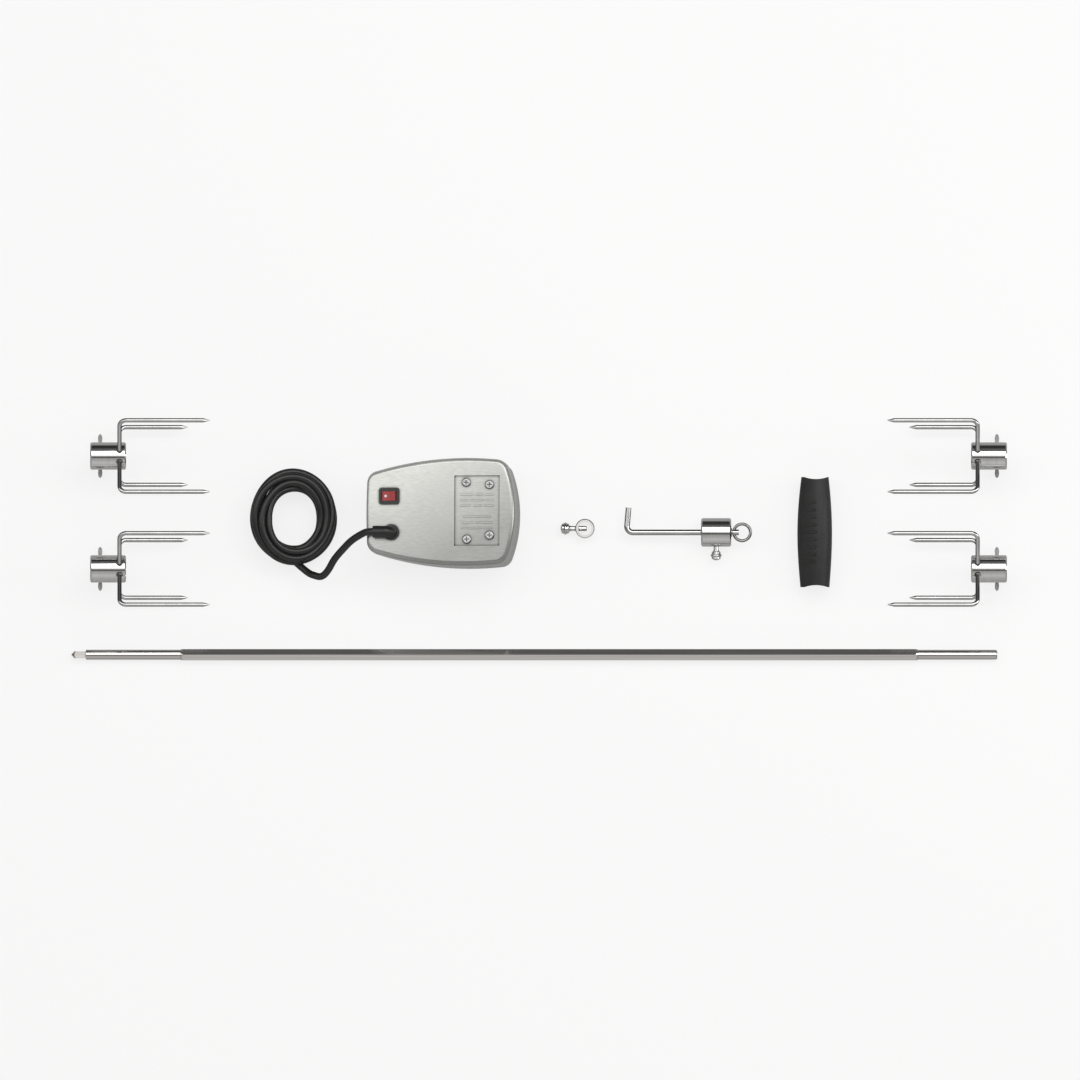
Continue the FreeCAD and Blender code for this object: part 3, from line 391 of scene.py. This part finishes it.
def mesh_object(name, data, body, slot, material=None, smooth=True):
    """Adds a piece that rides on a body, with its slot's own material unless another is given."""
    obj = bpy.data.objects.new(name, data)
    bpy.context.scene.collection.objects.link(obj)
    data.materials.append(material or MATERIALS[slot])
    for face in data.polygons:
        face.use_smooth = smooth
    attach(obj, body)
    return obj


def smooth_line(knots, steps):
    """Catmull-Rom points through the knots."""
    points = []
    padded = [2 * knots[0] - knots[1], *knots, 2 * knots[-1] - knots[-2]]
    for before, start, end, after in zip(padded, padded[1:], padded[2:], padded[3:]):
        for i in range(steps):
            t = i / steps
            slope = (end - before) * t
            bend = (2 * before - 5 * start + 4 * end - after) * t * t
            twist = (3 * start - before - 3 * end + after) * t ** 3
            points.append(start + 0.5 * (slope + bend + twist))
    points.append(knots[-1])
    return points


def tube(name, points, radius):
    """A closed round cord along the points, with flat ends."""
    mesh = bmesh.new()
    rings = []
    side = Vector((0, 0, 1))
    last = len(points) - 1
    for i, point in enumerate(points):
        along = (points[min(i + 1, last)] - points[max(i - 1, 0)]).normalized()
        side = (side - along * side.dot(along)).normalized()
        other = along.cross(side)
        ring = []
        for k in range(CORD_SIDES):
            angle = math.tau * k / CORD_SIDES
            out = side * math.cos(angle) + other * math.sin(angle)
            ring.append(mesh.verts.new(point + out * radius))
        rings.append(ring)
    close_rings(mesh, rings)
    return new_mesh(name, mesh)


def close_rings(mesh, rings):
    """Joins rings of vertices into a closed skin and caps both ends."""
    count = len(rings[0])
    for low, high in zip(rings, rings[1:]):
        for k in range(count):
            after = (k + 1) % count
            mesh.faces.new((low[k], low[after], high[after], high[k]))
    mesh.faces.new(rings[0][::-1])
    mesh.faces.new(rings[-1])
    bmesh.ops.recalc_face_normals(mesh, faces=mesh.faces)


def coil_points(center):
    """The strands' centreline, round and round the oval while it rolls about the bundle's middle."""
    points = []
    for i in range(COIL_TURNS * COIL_STEPS + 1):
        t = i / COIL_STEPS
        way = -math.pi / 2 - math.tau * t
        roll = -math.pi / 2 + math.tau * t * ROLLS / LAYS
        squeeze = 1 - SQUEEZE_FRONT * max(0, -math.sin(way))
        squeeze -= SQUEEZE_RIGHT * max(0, math.cos(way))
        squeeze += SWELL_LEFT * max(0, -math.cos(way))
        reach = BUNDLE_WIDE * math.cos(roll) * squeeze
        wander = WANDER * math.sin(WANDER_DRIFT * t + 1) * math.sin(WANDER_LOBES * way)
        x = (COIL_WIDE + reach + wander) * math.cos(way)
        y = (COIL_TALL + reach + wander) * math.sin(way)
        z = BUNDLE_DEEP * math.sin(roll) - x * COIL_SLOPE
        points.append(center + Vector((x, y, z)))
    return points


def build_cable():
    """The cord leaves the strain relief, comes down to the table and winds into a bundled coil."""
    corner = Vector(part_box("power_cable")[0])
    center = corner + COIL_FROM_CORNER
    lead = [MOTOR @ point for point in CORD_MOUTH]
    lead += [center + Vector(point) * MM for point in CORD_DESCENT]
    path = smooth_line(lead + coil_points(center)[1:], CORD_STEPS)
    cord = mesh_object("power_cord", tube("power_cord", path, CORD_RADIUS), "motor_unit", "cable_black")
    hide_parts("power_cable")


def rounded_bar(mesh, matrix, length, width, height):
    """Adds a raised bar with sloping top edges and rounded ends to a bmesh, in a local frame."""
    outline = []
    for end in (1, -1):
        for i in range(BAR_END_STEPS + 1):
            angle = -math.pi / 2 + math.pi * i / BAR_END_STEPS + (0 if end == 1 else math.pi)
            x = end * (length - width) / 2 + math.cos(angle) * width / 2
            outline.append((x, math.sin(angle) * width / 2))
    rings = []
    for level, shrink in ((-height, 1.0), (height * BAR_EDGE_LEVEL, 1.0), (height, BAR_TOP_SHRINK)):
        inward = 1 - (1 - shrink) * width / length
        ring = [mesh.verts.new(matrix @ Vector((x * inward, y * shrink, level))) for x, y in outline]
        rings.append(ring)
    close_rings(mesh, rings)


def bars_object(name, places, body, slot, material=None):
    """Adds one piece made of a raised bar at each place."""
    mesh = bmesh.new()
    for matrix, length, width, height in places:
        rounded_bar(mesh, matrix, length, width, height)
    mesh_object(name, new_mesh(name, mesh), body, slot, material, smooth=False)


def build_panel_marks():
    """Plain raised dashes on the sunk panel: a pressed pattern that says nothing."""
    places = []
    for v, lengths in DASH_ROWS:
        whole = sum(lengths) + DASH_GAP * (len(lengths) - 1)
        u = PANEL_MIDDLE - whole / 2
        for length in lengths:
            middle = Vector((u + length / 2, v, PANEL_FLOOR)) * MM
            places.append((MOTOR @ Matrix.Translation(middle), length * MM, DASH_WIDTH, DASH_HEIGHT))
            u += length + DASH_GAP
    bars_object("panel_dashes", places, "motor_unit", "cover_steel")


def build_rocker_mark():
    """The pale round mark at one end of the rocker, on its slanted top."""
    rock = find_joint("switch_rock")
    place = Matrix.Translation(Vector(rock["pos_m"])) @ MOTOR.to_3x3().to_4x4()
    tilt = Matrix.Rotation(math.radians(-rock["range_deg"][1] / 2), 4, "Y")
    end_rise = ROCKER_END * math.sin(ROCKER_END_ANGLE) - ROCKER_MIDDLE_RISE
    slant = math.atan2(end_rise, ROCKER_END * math.cos(ROCKER_END_ANGLE))
    rise = ROCKER_MIDDLE_RISE + MARK_PLACE * math.tan(slant)
    spot = Matrix.Translation(Vector((-MARK_PLACE, 0, rise)))
    matrix = place @ tilt @ spot @ Matrix.Rotation(slant, 4, "Y")
    white, _, _ = new_material("white mark", (0.85, 0.84, 0.82), 0.0, 0.4)
    bars_object("rocker_mark", [(matrix, MARK_LENGTH, MARK_WIDTH, MARK_HEIGHT)], "rocker", "red_plastic",
                white)


def surface_matrix(node, x, y):
    """A place on a node's top surface at (x, y), with +Z along the surface's normal."""
    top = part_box(node)[1][2]
    above = Vector((x, y, 2 * top))
    hit, place, normal, _ = frame["nodes"][node].ray_cast(above, Vector((0, 0, -1)))
    if not hit:
        raise ValueError("nothing of " + node + " lies under the mark")
    side = Vector((1, 0, 0))
    side = (side - normal * side.dot(normal)).normalized()
    turn = Matrix((side, normal.cross(side), normal)).transposed().to_4x4()
    return Matrix.Translation(place) @ turn


def build_grip_bars():
    """Generic raised grip bars across the grip's front facet."""
    low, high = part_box("handle_grip")
    x = (low[0] + high[0]) / 2 - GRIP_BAR_SIDE
    middle_y = (low[1] + high[1]) / 2
    places = []
    for i in range(-GRIP_BARS_EACH_WAY, GRIP_BARS_EACH_WAY + 1):
        matrix = surface_matrix("handle_grip", x, middle_y + i * GRIP_BAR_PITCH)
        length = GRIP_BAR_LENGTH - abs(i) * GRIP_BAR_TAPER
        places.append((matrix, length, GRIP_BAR_WIDTH, GRIP_BAR_HEIGHT))
    bars_object("grip_bars", places, "grip", "grip_black")


def add_bead(mesh, place, side, level):
    """One flattened, lumpy bead of weld."""
    across, along = BEAD_WAVES
    bead = bmesh.ops.create_icosphere(mesh, subdivisions=3, radius=BEAD_RADIUS)
    for vert in bead["verts"]:
        x, y, z = vert.co
        lump = 1 + BEAD_LUMPS * math.sin(x * across + side) * math.sin(y * along + level)
        vert.co = place + Vector((x, y, z * BEAD_FLATNESS)) * lump


def build_weld_beads():
    """A weld bead where each prong meets its fork's collar; forks 1 and 2 point to +X, 3 and 4 to -X."""
    for number in (1, 2, 3, 4):
        low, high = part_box(f"fork_{number}_collar")
        outer, way = (low[0], 1) if number < 3 else (high[0], -1)
        center = Vector((outer + way * BEAD_FROM_COLLAR_END, (low[1] + high[1]) / 2, (low[2] + high[2]) / 2))
        mesh = bmesh.new()
        for side in (-1, 1):
            for level in (-1, 1):
                place = center + Vector((0, side * BEAD_ACROSS, level * BEAD_UP))
                add_bead(mesh, place, side, level)
        name = f"weld_beads_{number}"
        mesh_object(name, new_mesh(name, mesh), f"fork_{number}", "wire_chrome", MATERIALS["weld"])


# ---------------------------------------------------------------- stage, light and camera

def surroundings(tree, direction):
    """What bare metal mirrors: soft strips along the rod, by the tilt of the direction about X."""
    split = add_node(tree, "ShaderNodeSeparateXYZ")
    tree.links.new(direction, split.inputs["Vector"])
    angle = add_node(tree, "ShaderNodeMath", operation="ARCTAN2")
    tree.links.new(split.outputs["Y"], angle.inputs[0])
    tree.links.new(split.outputs["Z"], angle.inputs[1])
    ramp = add_node(tree, "ShaderNodeValToRGB")
    elements = ramp.color_ramp.elements
    while len(elements) < len(STRIPS):
        elements.new(0.5)
    for element, (degrees, level) in zip(elements, STRIPS):
        element.position = (degrees + 180) / 360
        element.color = (*gray(level, STRIP_WARMTH), 1)
    share = remap(tree, angle.outputs["Value"], (-math.pi, math.pi), 0.0, 1.0)
    tree.links.new(share, ramp.inputs["Fac"])
    sideways = add_node(tree, "ShaderNodeMath", operation="ABSOLUTE")
    tree.links.new(split.outputs["X"], sideways.inputs[0])
    shade = remap(tree, sideways.outputs["Value"], SIDE_SPAN, 1.0, SIDE_SHADE)
    return multiplied(tree, ramp.outputs["Color"], shade)


def build_floor():
    """A white table that glows evenly; in mirrors it shows the same strips as the room."""
    reach = FLOOR_REACH
    mesh = bpy.data.meshes.new("table_top")
    corners = [(-reach, -reach, 0), (reach, -reach, 0), (reach, reach, 0), (-reach, reach, 0)]
    mesh.from_pydata(corners, [], [(0, 1, 2, 3)])
    floor = bpy.data.objects.new("table_top", mesh)
    bpy.context.scene.collection.objects.link(floor)
    floor.location.z = -FLOOR_DROP
    material, tree, shader = new_material("white table", gray(0.9), 0.0, 0.9)
    shader.inputs["Specular IOR Level"].default_value = 0.0
    glow = add_node(tree, "ShaderNodeEmission", Strength=FLOOR_GLOW)
    lit = add_node(tree, "ShaderNodeMixShader", Fac=FLOOR_GLOW_SHARE)
    tree.links.new(shader.outputs["BSDF"], lit.inputs[1])
    tree.links.new(glow.outputs["Emission"], lit.inputs[2])
    place = add_node(tree, "ShaderNodeNewGeometry")
    away = add_node(tree, "ShaderNodeVectorMath", operation="SCALE")
    away.inputs["Scale"].default_value = -1.0
    tree.links.new(place.outputs["Incoming"], away.inputs[0])
    mirrored = add_node(tree, "ShaderNodeEmission", Strength=STRIP_LIGHT)
    tree.links.new(surroundings(tree, away.outputs["Vector"]), mirrored.inputs["Color"])
    rays = add_node(tree, "ShaderNodeLightPath")
    seen = add_node(tree, "ShaderNodeMixShader")
    tree.links.new(rays.outputs["Is Glossy Ray"], seen.inputs["Fac"])
    tree.links.new(lit.outputs["Shader"], seen.inputs[1])
    tree.links.new(mirrored.outputs["Emission"], seen.inputs[2])
    tree.links.new(seen.outputs["Shader"], tree.nodes["Material Output"].inputs["Surface"])
    mesh.materials.append(material)


def build_studio():
    """The room: strips of light for the metal to mirror, and a plain pale backdrop for the camera."""
    world = bpy.data.worlds.new("studio")
    world.use_nodes = True
    bpy.context.scene.world = world
    tree = world.node_tree
    tree.nodes.clear()
    place = add_node(tree, "ShaderNodeTexCoord")
    strips = add_node(tree, "ShaderNodeBackground", Strength=STRIP_LIGHT)
    tree.links.new(surroundings(tree, place.outputs["Generated"]), strips.inputs["Color"])
    plain = add_node(tree, "ShaderNodeBackground", Color=(*gray(BACKDROP), 1))
    rays = add_node(tree, "ShaderNodeLightPath")
    seen = add_node(tree, "ShaderNodeMixShader")
    output = add_node(tree, "ShaderNodeOutputWorld")
    tree.links.new(rays.outputs["Is Camera Ray"], seen.inputs["Fac"])
    tree.links.new(strips.outputs["Background"], seen.inputs[1])
    tree.links.new(plain.outputs["Background"], seen.inputs[2])
    tree.links.new(seen.outputs["Shader"], output.inputs["Surface"])


def build_lamps():
    for name, (place, (width, height), power) in LAMPS.items():
        lamp = bpy.data.lights.new(name, "AREA")
        lamp.shape = "RECTANGLE"
        lamp.size = width
        lamp.size_y = height
        lamp.energy = power
        obj = bpy.data.objects.new(name, lamp)
        bpy.context.scene.collection.objects.link(obj)
        obj.location = place
        obj.rotation_euler = (-Vector(place)).to_track_quat("-Z", "Y").to_euler()


def build_camera():
    """Straight down, without perspective, one frame width across the laid-out kit."""
    camera = bpy.data.cameras.new("overhead")
    camera.type = "ORTHO"
    camera.ortho_scale = FRAME_WIDTH
    obj = bpy.data.objects.new("overhead", camera)
    obj.location = CAMERA_PLACE
    bpy.context.scene.collection.objects.link(obj)
    bpy.context.scene.camera = obj


finish_nodes()
build_cable()
build_panel_marks()
build_rocker_mark()
build_grip_bars()
build_weld_beads()
build_floor()
build_studio()
build_lamps()
build_camera()
bpy.context.scene.view_settings.view_transform = "Standard"
